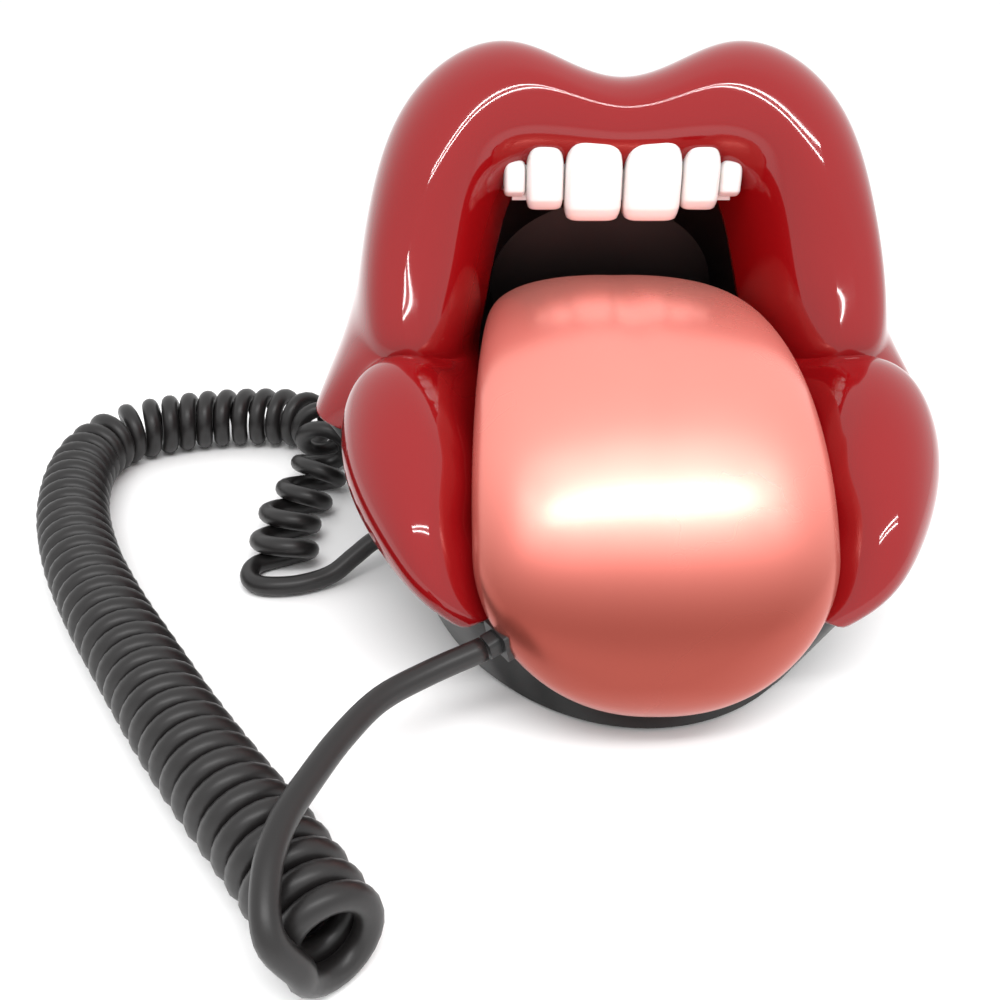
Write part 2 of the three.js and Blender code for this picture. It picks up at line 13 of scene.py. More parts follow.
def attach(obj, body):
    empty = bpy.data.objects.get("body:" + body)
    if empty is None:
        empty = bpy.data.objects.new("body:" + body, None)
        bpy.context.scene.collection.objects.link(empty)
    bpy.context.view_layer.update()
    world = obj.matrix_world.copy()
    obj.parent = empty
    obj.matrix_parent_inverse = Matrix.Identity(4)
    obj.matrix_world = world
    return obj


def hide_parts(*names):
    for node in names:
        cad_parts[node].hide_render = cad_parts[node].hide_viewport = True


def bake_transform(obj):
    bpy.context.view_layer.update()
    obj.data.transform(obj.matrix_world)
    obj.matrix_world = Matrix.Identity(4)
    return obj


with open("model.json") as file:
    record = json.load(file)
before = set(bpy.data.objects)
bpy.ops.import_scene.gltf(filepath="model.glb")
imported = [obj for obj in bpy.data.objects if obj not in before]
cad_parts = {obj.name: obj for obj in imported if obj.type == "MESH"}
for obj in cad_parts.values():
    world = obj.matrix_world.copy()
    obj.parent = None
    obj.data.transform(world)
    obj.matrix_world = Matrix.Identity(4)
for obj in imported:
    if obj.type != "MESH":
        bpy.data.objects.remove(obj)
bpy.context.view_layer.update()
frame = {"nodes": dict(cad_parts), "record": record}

MM = 0.001
GAP = 0.3
LIP_WALL = 2.2  # walls, and the levels and half sizes of the base's foot
LINER_WALL = 1.6
BASE_WALL = 2.4
BASE_BOTTOM = 1.0
FLOOR_HALF_X = 51.0
FLOOR_HALF_Y = 75.0
HANDSET_WALL = 2.2
PARTING_DROP = 3.0
CORD_DIAMETER = 4.8
COIL_RADIUS = 6.6  # from the coil's axis to the middle of its wire
COIL_DRAWN = 8.6  # how far the turns near the base stand apart
COIL_LEAN = math.radians(62)  # how far those turns lean
STEPS_PER_TURN = 24
EAR_ROUND = 26.0  # how far from each end the handset's width and thickness round off
EAR_DROP = 12.0
TIP_ROUND = 31.0
TIP_DROP = 9.0

# Half sections of the lips, from the middle of the upper lip round to under the tongue. Each runs
# from the mouth's floor over the front to the edge that meets the base. They pull a B-spline sheet.
LIP_SECTIONS = [
    [
        (0, 46, 83), (0, 35, 87), (0, 26, 92), (0, 19.5, 98), (0, 21, 105),
        (0, 30, 110), (0, 52, 104), (0, 84, 74), (0, 82, 31),
    ],
    [
        (11, 46, 84), (11.5, 35, 88), (12, 26, 93), (12, 20, 100), (12, 22.5, 108.5),
        (12.5, 33, 113.5), (14, 55, 107), (15, 84, 76), (15, 81, 31),
    ],
    [
        (22, 45, 86), (23, 34, 90), (24, 25, 95), (25, 20.5, 103), (25.5, 26, 114),
        (27, 39, 121), (29, 60, 113), (31, 82, 77), (30, 78, 31),
    ],
    [
        (28, 42, 84), (30, 30, 88), (33, 20, 93), (37, 17, 101), (40, 22, 110),
        (42, 35, 117), (44, 56, 110), (46, 77, 74), (43, 72, 31),
    ],
    [
        (31, 38, 78), (34, 23, 82), (39, 12, 86), (45, 10, 92), (51, 16, 99),
        (55, 28, 104), (57, 48, 97), (60, 64, 64), (56, 60, 32),
    ],
    [
        (34, 34, 66), (37, 15, 70), (42, 5, 73), (50, 3, 77), (58, 9, 81),
        (61, 21, 83), (63, 40, 78), (67, 53, 54), (66, 44, 34),
    ],
    [
        (36, 30, 56), (39, 10, 60), (43, 0, 63), (50, -5, 66), (59, -1, 68),
        (63, 12, 69), (65, 30, 65), (69, 42, 50), (71, 33, 35),
    ],
    [
        (38, 26, 47), (40, 7, 52), (43, -6, 55), (50, -11, 58), (58, -8, 58),
        (63, 3, 57), (67, 18, 54), (72, 26, 44), (74, 18, 37),
    ],
    [
        (37, 14, 45), (39, 4, 49), (44, -5, 53), (49.5, -9, 55), (55, -8, 55),
        (61, -5, 54), (67, -5, 50), (73, -8, 43), (76, -7, 38),
    ],
    [
        (36, 4, 45), (38, -1, 48), (43, -8, 52), (48.5, -11, 54.5), (53, -11, 54),
        (57, -9, 52), (60, -7, 48), (62.5, -6, 42), (65, -6, 36),
    ],
    [
        (33, -6, 45), (36, -12, 47), (40, -18, 52), (45, -22, 58), (52, -24, 61.5),
        (60, -23.5, 59), (64.5, -22, 51), (64, -20, 41), (60, -18, 33),
    ],
    [
        (26, -18, 41), (32, -25, 41.5), (37, -33, 45), (42, -40, 52), (48, -44, 55),
        (56, -45, 53), (62, -44, 46), (62, -42, 37.5), (56, -42, 30.5),
    ],
    [
        (18, -24, 39), (22, -32, 38), (27, -40, 37), (32, -46, 38.5), (38, -53, 43.5),
        (44, -60, 46), (49, -65, 41), (50, -65, 33), (45, -62.5, 27.5),
    ],
    [
        (11, -26, 39), (14, -35, 37), (20, -42, 33.5), (28, -47, 31), (35, -53, 32.5),
        (39.5, -61, 36), (42, -68, 35.5), (40.5, -73.5, 29), (34.5, -73, 24),
    ],
    [
        (5, -28, 39), (6, -32, 38), (10, -38, 35), (13, -42, 32), (17, -45, 29.5),
        (20, -48, 27), (23, -52, 24.5), (25, -56, 22), (26, -59, 20.5),
    ],
    [
        (0, -28, 39), (0, -32, 38), (0, -37, 35.5), (0, -41, 33), (0, -45, 30.5),
        (0, -48, 28), (0, -51, 25), (0, -53, 22), (0, -54, 19),
    ],
]

# The handset's middle line in side view, from the ear end to the tip, with its half sizes there
HANDSET_LINE = [(54, 41), (24, 53.7), (-8, 59.2), (-36, 56.7), (-60, 44.6), (-74, 27), (-78.5, 9)]
HANDSET_HALF_WIDTHS = [30, 33, 34.2, 35.4, 35.8, 34.8, 34]
HANDSET_HALF_THICKNESSES = [11.5, 12.5, 12.8, 12.8, 12, 10, 8]

# The cord's route. The first two lists are those of the CAD source. The lead at the base starts lower
# and wider than there, so that the wire comes out from under the coil and turns on the floor
HANDSET_LEAD = [
    (-33.2, -76.7, 23.3), (-43, -82, 22.1), (-51.5, -89, 21.8), (-57, -98.5, 21.9), (-61, -108.5, 21.9),
    (-63.7, -117, 21.8), (-64.6, -125.5, 20.4), (-63.2, -133.2, 16.2), (-60.4, -135.2, 11),
]
COIL_ROUTE = [
    (-57, -126), (-68, -112), (-79, -99), (-91, -84), (-105, -65), (-120, -44), (-133, -23),
    (-144, 1), (-149.5, 25), (-146, 43), (-133, 52.5), (-114, 57.5), (-96, 57), (-86, 50),
    (-82.5, 35), (-84.5, 17), (-86.5, 3), (-86, -9), (-84.5, -19),
]
BASE_LEAD = [
    (-91.6, -16.6, 2.6), (-92.8, -21.2, 2.6), (-90.6, -25.2, 2.6), (-86, -26.6, 2.7), (-79, -25.6, 2.7),
    (-72, -22.4, 3.4), (-66.6, -18.9, 6.4), (-61.6, -16, 9.3), (-56.7, -15, 10),
]


# ---- camera ----

def make_camera():
    """Close in front and above, a little to the left of the middle, looking thirty degrees down"""
    data = bpy.data.cameras.new("camera")
    data.sensor_width = 36
    data.lens = 34.8
    data.clip_start = 0.01
    camera = bpy.data.objects.new("camera", data)
    bpy.context.scene.collection.objects.link(camera)
    camera.location = (-0.030, -0.222, 0.140)
    camera.rotation_euler = (math.radians(60), 0, 0)
    bpy.context.scene.camera = camera


# ---- curves and grids ----

def spline_weights(t):
    """The weights of the four points that pull a B-spline at t"""
    return np.array([(1 - t) ** 3, 3 * t**3 - 6 * t**2 + 4, -3 * t**3 + 3 * t**2 + 3 * t + 1, t**3]) / 6


def open_spline(points, steps):
    """A B-spline along the first axis of points, from the first point to the last"""
    points = np.asarray(points, float)
    points = np.concatenate([[2 * points[0] - points[1]], points, [2 * points[-1] - points[-2]]])
    spans = len(points) - 3
    rows = []
    for k in range(steps + 1):
        u = min(k * spans / steps, spans - 1e-9)
        i = int(u)
        rows.append(np.tensordot(spline_weights(u - i), points[i : i + 4], 1))
    return np.array(rows)


def closed_spline(points, steps):
    """A B-spline round the first axis of points"""
    points = np.asarray(points, float)
    rows = []
    for k in range(steps):
        u = k * len(points) / steps
        i = int(u)
        four = points[[(i - 1 + j) % len(points) for j in range(4)]]
        rows.append(np.tensordot(spline_weights(u - i), four, 1))
    return np.array(rows)


def new_object(name, vertices, faces, sharp_degrees=None):
    """A smooth mesh object from points in millimetres"""
    mesh = bpy.data.meshes.new(name)
    mesh.from_pydata((np.asarray(vertices, float) * MM).tolist(), [], faces)
    mesh.update()
    bm = bmesh.new()
    bm.from_mesh(mesh)
    bmesh.ops.recalc_face_normals(bm, faces=bm.faces)
    bm.to_mesh(mesh)
    bm.free()
    mesh.shade_smooth()
    if sharp_degrees:
        mesh.set_sharp_from_angle(angle=math.radians(sharp_degrees))
    obj = bpy.data.objects.new(name, mesh)
    bpy.context.scene.collection.objects.link(obj)
    return obj


def ring_object(name, rings, torus=False, sharp_degrees=None):
    """Closed body through rings of equal length, closed on itself or by a fan at each end"""
    rings = np.asarray(rings, float)
    count, size = rings.shape[:2]
    vertices = rings.reshape(-1, 3).tolist()
    faces = []
    for i in range(count if torus else count - 1):
        here, there = i * size, (i + 1) % count * size
        for j in range(size):
            k = (j + 1) % size
            faces.append((here + j, here + k, there + k, there + j))
    if not torus:
        for ring in (0, count - 1):
            vertices.append(rings[ring].mean(axis=0).tolist())
            middle = len(vertices) - 1
            faces += [(ring * size + j, ring * size + (j + 1) % size, middle) for j in range(size)]
    return new_object(name, vertices, faces, sharp_degrees)


def join(name, pieces):
    """One object that holds all the pieces' meshes"""
    bm = bmesh.new()
    for piece in pieces:
        bm.from_mesh(piece.data)
        bpy.data.objects.remove(piece)
    mesh = bpy.data.meshes.new(name)
    bm.to_mesh(mesh)
    bm.free()
    obj = bpy.data.objects.new(name, mesh)
    bpy.context.scene.collection.objects.link(obj)
    return obj


def cut(obj, cutters):
    """Takes the cutters, which don't meet each other, out of a piece"""
    cutter = join("cutter", cutters)
    modifier = obj.modifiers.new("cut", "BOOLEAN")
    modifier.operation = "DIFFERENCE"
    modifier.solver = "EXACT"
    modifier.object = cutter
    mesh = bpy.data.meshes.new_from_object(obj.evaluated_get(bpy.context.evaluated_depsgraph_get()))
    obj.modifiers.clear()
    obj.data = mesh
    mesh.shade_smooth()
    mesh.set_sharp_from_angle(angle=math.radians(35))
    bpy.data.objects.remove(cutter)


def finish_piece(obj, body, material, *nodes):
    """Gives a piece its material and body, and hides the CAD nodes that it stands for"""
    obj.data.materials.clear()
    obj.data.materials.append(MATERIALS[material])
    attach(obj, body)
    if nodes:
        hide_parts(*nodes)


# ---- lips ----

LIP_STATIONS = 420
LIP_STEPS = 120

# Where the upper lip's ridge runs over the first sections, counted in their points
RIDGE = [4, 4, 4, 3.5, 3]


def with_ridge(index, section):
    """The section with one more point: on the ridge two points stand close together and bend it tightly"""
    section = np.array(section, float)
    ridge = RIDGE[index] if index < len(RIDGE) else None
    if ridge in (3, 4):
        here = section[ridge]
        pair = [here + (section[ridge - 1] - here) * 0.1, here + (section[ridge + 1] - here) * 0.1]
        return np.concatenate([section[:ridge], pair, section[ridge + 1 :]])
    middle = (section[3] + section[4]) / 2
    return np.concatenate([section[:4], [middle], section[4:]])


def lip_skin():
    """The lips' outer skin: rows of points from the mouth's rim to the edge, one row for each station"""
    right = np.array([with_ridge(i, section) for i, section in enumerate(LIP_SECTIONS)])
    left = right[-2:0:-1] * np.array([-1, 1, 1])
    columns = open_spline(np.concatenate([right, left]).swapaxes(0, 1), LIP_STEPS).swapaxes(0, 1)
    return closed_spline(columns, LIP_STATIONS)


def skin_normals(rows):
    """The way out of the skin at each of its points"""
    around = np.roll(rows, -1, axis=0) - np.roll(rows, 1, axis=0)
    along = np.empty_like(rows)
    along[:, 1:-1] = rows[:, 2:] - rows[:, :-2]
    along[:, 0] = rows[:, 1] - rows[:, 0]
    along[:, -1] = rows[:, -1] - rows[:, -2]
    normals = np.cross(along, around)
    return normals / np.linalg.norm(normals, axis=2, keepdims=True)


def rounded_edge(outer, inner, outwards, count=5):
    """Points that lead round an edge, from the outer skin's end to the inner skin's"""
    middle = (outer + inner) / 2
    side = (outer - inner) / 2
    radius = LIP_WALL / 2
    turns = [math.pi * (k + 1) / (count + 1) for k in range(count)]
    return [middle + side * math.cos(t) + outwards * radius * (math.sin(t) - 1) for t in turns]


def make_lips():
    """One shell, with its edges rounded"""
    rows = lip_skin()
    inner = rows - skin_normals(rows) * LIP_WALL
    outwards = rows[:, -1] - rows[:, -2]
    outwards /= np.linalg.norm(outwards, axis=1, keepdims=True)
    edge = np.stack(rounded_edge(rows[:, -1], inner[:, -1], outwards), axis=1)
    shell = np.concatenate([rows[:, :-1], edge, inner[:, -2::-1]], axis=1)
    lips = ring_object("lips", shell, torus=True)
    finish_piece(lips, "base", "red_gloss", "lip_shell")


def make_mouth():
    """The black cup behind the lips, back to a wall behind the handset's ear end"""
    rim = lip_skin()[:, 0]
    angle = np.arctan2((rim[:, 2] - 58) / 26, rim[:, 0] / 36)
    back = np.stack([33 * np.cos(angle), np.full_like(angle, 63), 50 + 25 * np.sin(angle)], 1)
    start = rim + (back - rim) * (GAP / np.linalg.norm(back - rim, axis=1, keepdims=True))

    def ring(share, grow):
        place = start + (back - start) * share
        outwards = place * [1, 0, 1] - [0, 0, 55]
        return place + outwards / np.linalg.norm(outwards, axis=1, keepdims=True) * grow

    inside = [ring(t, 0) for t in (1, 0.98, 0.9, 0.75, 0.5, 0.25, 0.1, 0)]
    outside = [ring(t, LINER_WALL) for t in (0, 0.5, 1)]
    outside.append(outside[-1] + [0, LINER_WALL, 0])
    mouth = ring_object("mouth", inside + outside, sharp_degrees=40)
    finish_piece(mouth, "base", "cavity_black", "mouth_liner")


# ---- teeth ----

# Middle, half width, front, height of the front's lower edge, gum line
TEETH = [
    (7.2, 7.0, 17.2, 83.4, 99.5),
    (19.0, 4.6, 18.4, 85.2, 98.0),
    (26.4, 2.8, 20.0, 87.0, 94.5),
]
TOOTH_DEPTH = 12.0

# A tooth's outline from the biting edge up: height above the front's lower edge in shares of the
# height to the gum, share of the width, and how far the front stands back
TOOTH_OUTLINE = [
    (-0.205, 0.62, 3.4), (-0.195, 0.82, 2.2), (-0.165, 0.92, 1.5), (-0.09, 0.97, 0.8), (-0.02, 0.99, 0.22),
    (0.0, 0.995, 0.08), (0.03, 1.0, 0.0), (0.15, 1.0, 0.0), (0.35, 1.0, 0.0), (0.55, 0.995, 0.05),
    (0.68, 0.97, 0.2), (0.78, 0.925, 0.5), (0.86, 0.85, 0.95), (0.92, 0.75, 1.6), (0.965, 0.62, 2.4),
    (1.0, 0.44, 3.6),
]


def tooth_rings(tooth, side, points=72):
    """Rings of one tooth from its biting edge up"""
    x, half_width, front, edge, gum = tooth
    angles = 2 * math.pi * (np.arange(points) + 0.5) / points
    rings = []
    for up, width, set_back in TOOTH_OUTLINE:
        half_depth = (TOOTH_DEPTH - set_back) / 2
        across = side * x + width * half_width * signed_power(np.cos(angles), 0.42)
        deep = front + set_back + half_depth + half_depth * signed_power(np.sin(angles), 0.5)
        rings.append(np.stack([across, deep, np.full(points, edge + up * (gum - edge))], 1))
    return rings


def make_teeth():
    """Six upper teeth on one bar"""
    pieces = [ring_object("tooth", tooth_rings(t, side), sharp_degrees=50) for t in TEETH for side in (-1, 1)]
    bar = [[(x, y, z) for y, z in ((23, 84.5), (30, 84.5), (30, 93), (24, 93))] for x in (-27, -10, 10, 27)]
    pieces.append(ring_object("gum_bar", bar, sharp_degrees=40))
    finish_piece(join("teeth", pieces), "base", "tooth_white", "teeth_strip")


# ---- handset ----

def handset_frame(count=400):
    """Places, ways ahead and up, half sizes and distances along the handset's middle line"""
    line = open_spline([(0, y, z) for y, z in HANDSET_LINE], count)
    widths = open_spline(np.array(HANDSET_HALF_WIDTHS, float)[:, None], count)[:, 0]
    heights = open_spline(np.array(HANDSET_HALF_THICKNESSES, float)[:, None], count)[:, 0]
    travelled = np.concatenate([[0], np.cumsum(np.linalg.norm(np.diff(line, axis=0), axis=1))])
    ahead = np.gradient(line, travelled, axis=0)
    ahead /= np.linalg.norm(ahead, axis=1, keepdims=True)
    return line, ahead, widths, heights, travelled


LINE, AHEAD, WIDTHS, HEIGHTS, TRAVELLED = handset_frame()
HANDSET_LENGTH = TRAVELLED[-1]


def handset_at(distance):
    """Place, way ahead, way up, half width and half thickness at a distance from the ear end"""
    place = np.array([np.interp(distance, TRAVELLED, LINE[:, i]) for i in range(3)])
    ahead = np.array([np.interp(distance, TRAVELLED, AHEAD[:, i]) for i in range(3)])
    up = np.array([0, ahead[2], -ahead[1]])
    return place, ahead, up, np.interp(distance, TRAVELLED, WIDTHS), np.interp(distance, TRAVELLED, HEIGHTS)


def signed_power(value, power):
    """A power that keeps the sign, for rounded squares"""
    return np.sign(value) * np.abs(value) ** power


def round_end(distance, radius):
    """The share of the full size that a round end has at a distance from it"""
    return math.sqrt(max(0.0, 1 - max(0.0, 1 - distance / radius) ** 2))


def handset_half_sizes(distance, inset):
    """Half width and half thickness, less an inset, rounded off at both ends"""
    _, _, _, half_width, half_height = handset_at(distance)
    from_ear = distance - inset
    to_tip = HANDSET_LENGTH - distance - inset
    wide = min(round_end(from_ear, EAR_ROUND - inset), round_end(to_tip, TIP_ROUND - inset))
    high = min(round_end(from_ear, EAR_DROP - inset), round_end(to_tip, TIP_DROP - inset))
    return (half_width - inset) * wide, (half_height - inset) * high


def handset_arc(distance, inset, first, last, points):
    """Part of the handset's outline at a distance from the ear end, between two levels of its sides"""
    place, _, up, _, _ = handset_at(distance)
    width, height = handset_half_sizes(distance, inset)
    angles = np.linspace(first, last, points)
    across = width * signed_power(np.cos(angles), 0.8)
    level = height * signed_power(np.sin(angles), 0.8)
    if last > first:
        groove = 0.5 * math.exp(-(((distance - 70) / 30) ** 2))
        level = level - groove * np.exp(-((across / 3.0) ** 2))
    return place + across[:, None] * np.array([1, 0, 0]) + level[:, None] * up


def parting_angle(distance, inset, level):
    """The angle at which the handset's side passes a level below its middle line"""
    height = handset_half_sizes(distance, inset)[1]
    share = min(1.0, max(0.0, -level / max(height, 1e-6)))
    return -math.asin(share**1.25)


def shell_ring(distance, level, top, points=100):
    """One ring of a shell: out along the outer skin and back along the inner one"""
    inner_distance = min(max(distance, HANDSET_WALL + 0.05), HANDSET_LENGTH - HANDSET_WALL - 0.05)
    arcs = []
    for inset, place in ((0, distance), (0.25, distance), (HANDSET_WALL, inner_distance)):
        shift = 0 if inset else (0.25 if top else -0.25)
        angle = parting_angle(place, inset, level + shift)
        ends = (angle, math.pi - angle) if top else (angle, -math.pi - angle)
        arcs.append(handset_arc(place, inset, *ends, points))
    outer, edge, inner = arcs
    return np.concatenate([[edge[0]], outer, [edge[-1]], inner[::-1]])


def shell_distances(count=150):
    """Distances along the handset that crowd together at its two ends"""
    return [HANDSET_LENGTH * (1 - math.cos(math.pi * k / count)) / 2 for k in range(1, count)]


def make_top_shell():
    """The tongue as it is seen, down to the parting line"""
    rings = [shell_ring(d, GAP / 2 - PARTING_DROP, True) for d in shell_distances()]
    shell = ring_object("handset_top", rings, sharp_degrees=50)
    finish_piece(shell, "handset", "pearl_pink", "handset_top_shell")
    return shell


def make_bottom_shell():
    """The underside, with holes for keys, screws and sound"""
    level = -GAP / 2 - PARTING_DROP
    distances = [d for d in shell_distances() if handset_half_sizes(d, 0)[1] > PARTING_DROP + 1]
    rings = [shell_ring(d, level, False, 60) for d in distances]
    shell = ring_object("handset_bottom", rings, sharp_degrees=50)
    cutters = [handset_block(KEY_SIZE, 8, d, x, -15, GAP) for _, d, x in KEYS]
    cutters += [handset_bar(2.9, 16, d, 0, -19) for d in HANDSET_SCREWS]
    cutters += [handset_bar(0.9, 16, d, x, -20) for d in SOUND_HOLES for x in (-4, 0, 4)]
    cut(shell, cutters)
    finish_piece(shell, "handset", "pearl_pink", "handset_bottom_shell")
    return shell


# ---- keys ----

KEY_SIZE = (9.4, 6.4)
KEY_PITCH = (13, 11)
FIRST_ROW = 64
KEY_ROWS = ["123", "456", "789", "*0#", "r f"]
KEY_NAMES = {"*": "star", "#": "hash", "r": "redial", "f": "flash"}
KEYS = [
    (sign, FIRST_ROW + row * KEY_PITCH[1], (1 - column) * KEY_PITCH[0])
    for row, signs in enumerate(KEY_ROWS)
    for column, sign in enumerate(signs)
    if sign != " "
]
HANDSET_SCREWS = (46, 122)
SOUND_HOLES = (24, 142)


def handset_matrix(distance, across, level):
    """Turns a shape with +X to the left, +Y towards the ear and +Z down out of the handset's underside"""
    place, ahead, up, _, _ = handset_at(distance)
    origin = place + up * level + [across, 0, 0]
    return np.array([[-1, 0, 0], -ahead, -up]).T, origin


def on_handset(points, distance, across, level):
    """Moves a shape to its place on the underside"""
    turn, origin = handset_matrix(distance, across, level)
    return np.asarray(points, float) @ turn.T + origin


def rounded_outline(size, radius, height, points=6):
    """A rounded rectangle in XY at a height"""
    outline = []
    for corner, (sx, sy) in enumerate(((1, 1), (-1, 1), (-1, -1), (1, -1))):
        middle = (sx * (size[0] / 2 - radius), sy * (size[1] / 2 - radius))
        for k in range(points):
            angle = math.pi / 2 * (corner + k / (points - 1))
            x, y = middle[0] + radius * math.cos(angle), middle[1] + radius * math.sin(angle)
            outline.append((x, y, height))
    return outline


def handset_block(size, height, distance, across, lowest, grow=0.0):
    """A rounded block through the underside"""
    wide = (size[0] + 2 * grow, size[1] + 2 * grow)
    rings = [rounded_outline(wide, 1.2, z) for z in (0, height)]
    rings = [on_handset(ring, distance, across, lowest + height) for ring in rings]
    return ring_object("block", rings)


def handset_bar(radius, height, distance, across, lowest):
    """A round bar through the underside"""
    angles = 2 * math.pi * np.arange(24) / 24
    x, y = radius * np.cos(angles), radius * np.sin(angles)
    rings = [np.stack([x, y, np.full(24, z)], 1) for z in (0, height)]
    return ring_object("bar", [on_handset(ring, distance, across, lowest + height) for ring in rings])


def key_sign(sign):
    """The mark on a key as points and faces: a numeral, or two dots and a bar for redial and flash"""
    if sign in "rf":
        middles = [(-1.2, 0), (1.2, 0)] if sign == "r" else [(0, 0)]
        half = (0.55, 0.55) if sign == "r" else (1.7, 0.35)
        points, faces = [], []
        for x, y in middles:
            faces.append(tuple(range(len(points), len(points) + 16)))
            for k in range(16):
                angle = 2 * math.pi * k / 16
                points.append((x + half[0] * math.cos(angle), y + half[1] * math.sin(angle), 0))
        return points, faces
    text = bpy.data.curves.new("numeral", "FONT")
    text.body = sign
    text.size = 5.2
    text.align_x, text.align_y = "CENTER", "CENTER"
    writer = bpy.data.objects.new("numeral", text)
    bpy.context.scene.collection.objects.link(writer)
    mesh = bpy.data.meshes.new_from_object(writer.evaluated_get(bpy.context.evaluated_depsgraph_get()))
    points = [tuple(v.co) for v in mesh.vertices]
    faces = [tuple(p.vertices) for p in mesh.polygons]
    bpy.data.objects.remove(writer)
    return points, faces


def make_keys():
    """Fourteen keys, each a cap with a flange and a mark"""
    for sign, distance, across in KEYS:
        name = "key_" + KEY_NAMES.get(sign, sign)
        body = rounded_outline(KEY_SIZE, 1.2, 0)
        flange = rounded_outline((KEY_SIZE[0] + 1.4, KEY_SIZE[1] + 2), 1.2, 0)
        rings = []
        for outline, shrink, level in (
            (flange, 0, -8), (flange, 0, -9), (body, 0, -9), (body, 0, -13),
            (body, 0.04, -13.35), (body, 0.1, -13.55), (body, 0.2, -13.62), (body, 0.6, -13.75),
        ):
            ring = np.array(outline) * [1 - shrink, 1 - shrink * 1.3, 0]
            rings.append(on_handset(ring, distance, across, level))
        cap = ring_object(name + "_cap", rings, sharp_degrees=45)
        finish_piece(cap, name, "key_white", name)
        points, faces = key_sign(sign)
        mark = new_object(name + "_mark", on_handset(points, distance, across, -13.82), faces)
        mark.data.materials.append(MATERIALS["key_ink"])
        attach(mark, name)


# ---- base ----

def base_rings():
    """The bowl from its foot up the outside and down the inside"""
    rim = lip_skin()[:, -1]
    angle = np.arctan2(rim[:, 1] / FLOOR_HALF_Y, rim[:, 0] / FLOOR_HALF_X)

    def ring(height, inset, level):
        x, y = (FLOOR_HALF_X - inset) * np.cos(angle), (FLOOR_HALF_Y - inset) * np.sin(angle)
        foot = np.stack([x, y, np.full_like(angle, level)], 1)
        inwards = -rim * np.array([1, 1, 0])
        inwards /= np.linalg.norm(inwards, axis=1, keepdims=True)
        edge = rim + inwards * inset - np.array([0, 0, GAP])
        return foot + (edge - foot) * height

    outer = [ring(0, 0.9, BASE_BOTTOM), ring(0, 0.25, BASE_BOTTOM + 0.25)]
    outer += [ring(h, 0, BASE_BOTTOM) for h in (0.05, 0.3, 0.6, 0.9, 1)]
    inner = [ring(h, BASE_WALL, BASE_BOTTOM + BASE_WALL) for h in (1, 0.6, 0.3, 0)]
    return outer + inner


# A jack's place: the mouth's middle, the way out of it, and the width and height of hole and body
HANDSET_JACK = {"mouth": (-54.5, -15, 10), "out": (-1, 0, 0), "hole": (7.8, 6.6), "body": (12, 11)}
LINE_JACK = {"mouth": (14, 75, 12), "out": (0, 1, 0), "hole": (9.8, 6.8), "body": (14, 11)}
JACK_DEPTH = 15.0
CONTACT_SPOTS = (-1.5, -0.5, 0.5, 1.5)
RINGER_SWITCH = (-16, 76, 14)
SCREW_PLACES = [(-30, 38), (30, 38), (-30, -34), (30, -34)]


def block_along(mouth, out, size, start, end, radius=0.3):
    """A bar with rounded long edges, from start to end along out, counted inwards from the mouth"""
    out = np.array(out, float) / np.linalg.norm(out)
    side = np.cross([0, 0, 1], out)
    side /= np.linalg.norm(side)
    up = np.cross(out, side)
    rings = []
    for depth in (start, end):
        outline = rounded_outline(size, radius, 0, 4)
        rings.append([np.array(mouth) - out * depth + side * x + up * y for x, y, _ in outline])
    return ring_object("block", rings, sharp_degrees=40)


def make_base():
    """The bowl, with its openings for jacks, ringer switch and screws"""
    base = ring_object("base", base_rings())
    cutters = []
    for jack in (HANDSET_JACK, LINE_JACK):
        room = [side + 2 * GAP for side in jack["body"]]
        cutters.append(block_along(jack["mouth"], jack["out"], room, -12, JACK_DEPTH + GAP))
    cutters.append(block_along(RINGER_SWITCH, (0, 1, 0), (10, 4), -10, 10, 1.4))
    for x, y in SCREW_PLACES:
        cutters.append(block_along((x, y, 0), (0, 0.001, -1), (7, 7), 1, -2.4, 3.4))
    cut(base, cutters)
    finish_piece(base, "base", "black_plastic", "base_tray")


def make_jack(name, jack):
    """A clear socket with its hole, a ramp for the plug's clip and four gold contacts"""
    body = block_along(jack["mouth"], jack["out"], jack["body"], 0, JACK_DEPTH, 0.6)
    width, height = jack["hole"]
    mouth = np.array(jack["mouth"], float)
    slot = block_along(mouth + [0, 0, -height / 2 + 0.2], jack["out"], (width * 0.45, 2.2), -1, 9)
    cut(body, [block_along(mouth, jack["out"], (width, height), -1, JACK_DEPTH - 3)])
    cut(body, [slot])
    finish_piece(body, "base", "clear_plastic", name)
    side = np.cross([0, 0, 1], jack["out"])
    wires = [
        block_along(mouth + side * x + [0, 0, height / 2 - 0.9], jack["out"], (0.5, 0.5), 1.5, 11, 0.2)
        for x in CONTACT_SPOTS
    ]
    finish_piece(join(name + "_contacts", wires), "base", "gold")


# ---- cord ----

PLUG_SIZE = (7.6, 6.2)
PLUG_DEPTH = 11.0
HANDSET_PLUG = {"mouth": (-32.8, -76.4, 23.4), "out": (-0.83, -0.52, -0.2), "set_back": 2.5}
BASE_PLUG = {"mouth": (-56.3, -15, 10), "out": (-1, 0, 0), "set_back": 0}


